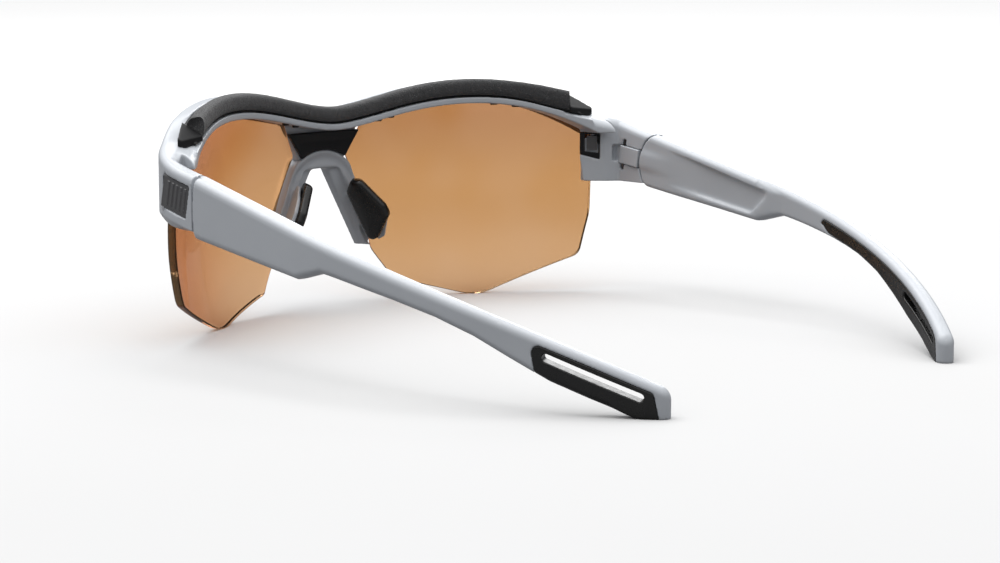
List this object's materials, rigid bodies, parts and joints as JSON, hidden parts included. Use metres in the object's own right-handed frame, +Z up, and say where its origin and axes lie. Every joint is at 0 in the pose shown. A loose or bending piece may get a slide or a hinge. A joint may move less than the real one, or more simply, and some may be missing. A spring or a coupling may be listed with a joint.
{
  "type": "sports sunglasses",
  "caption": "Wrapped half-rim sports sunglasses with separate amber lenses, a foam sweat bar, soft nose pads, lens locks, and temples that fold and tilt.",
  "frame": {"origin": "middle of the overall length and width, on the table that the lenses and temple tips stand on", "axes": "+X to the wearer's left, +Y back along the temples to their tips, +Z up"},
  "size_m": [0.136, 0.1472, 0.0501],
  "materials": {
    "shell": "satin moulded, light cool grey",
    "black_plastic": "satin moulded, black",
    "rubber": "matt, soft, near black",
    "foam": "open-cell foam, dark grey, speckled",
    "lens": "polished, clear amber-brown, graded darker towards the top",
    "steel": "plain pin stock and spring leaf"
  },
  "bodies": {
    "front": {"front_frame": "shell", "bridge_cover": "black_plastic", "nose_bridge": "shell", "nose_pad_left": "rubber", "nose_pad_right": "rubber", "lens_left": "lens", "lens_right": "lens", "sweat_bar_carrier": "black_plastic", "sweat_bar_foam": "foam", "lens_seat_left": "black_plastic", "lens_seat_right": "black_plastic", "lens_lock_pin_left": "steel", "lens_lock_pin_right": "steel", "fold_pin_left": "steel", "fold_pin_right": "steel"},
    "lens_lock_left": {"lens_lock_left": "black_plastic"},
    "hinge_tongue_left": {"hinge_tongue_left": "shell"},
    "temple_left": {"temple_left": "shell", "ear_grip_left": "rubber", "tilt_pin_left": "steel", "detent_leaf_left": "steel"},
    "lens_lock_right": {"lens_lock_right": "black_plastic"},
    "hinge_tongue_right": {"hinge_tongue_right": "shell"},
    "temple_right": {"temple_right": "shell", "ear_grip_right": "rubber", "tilt_pin_right": "steel", "detent_leaf_right": "steel"}
  },
  "joints": [
    {"name": "fold_left", "type": "hinge", "parent": "front", "child": "hinge_tongue_left", "pos_m": [0.06415, -0.03762, 0.0322], "axis": [0, 0.1392, 0.9903], "range_deg": [0, 80]},
    {"name": "tilt_left", "type": "hinge", "parent": "hinge_tongue_left", "child": "temple_left", "pos_m": [0.066, -0.02411, 0.0303], "axis": [1, 0, 0], "range_deg": [-4, 4]},
    {"name": "lens_lock_left", "type": "hinge", "parent": "front", "child": "lens_lock_left", "pos_m": [0.06685, -0.03841, 0.0337], "axis": [0, -0.2079, -0.9781], "range_deg": [0, 8]},
    {"name": "fold_right", "type": "hinge", "parent": "front", "child": "hinge_tongue_right", "pos_m": [-0.06415, -0.03762, 0.0322], "axis": [0, -0.1392, -0.9903], "range_deg": [0, 70]},
    {"name": "tilt_right", "type": "hinge", "parent": "hinge_tongue_right", "child": "temple_right", "pos_m": [-0.066, -0.02411, 0.0303], "axis": [1, 0, 0], "range_deg": [-4, 4]},
    {"name": "lens_lock_right", "type": "hinge", "parent": "front", "child": "lens_lock_right", "pos_m": [-0.06685, -0.03841, 0.0337], "axis": [0, 0.2079, 0.9781], "range_deg": [0, 8]}
  ]
}
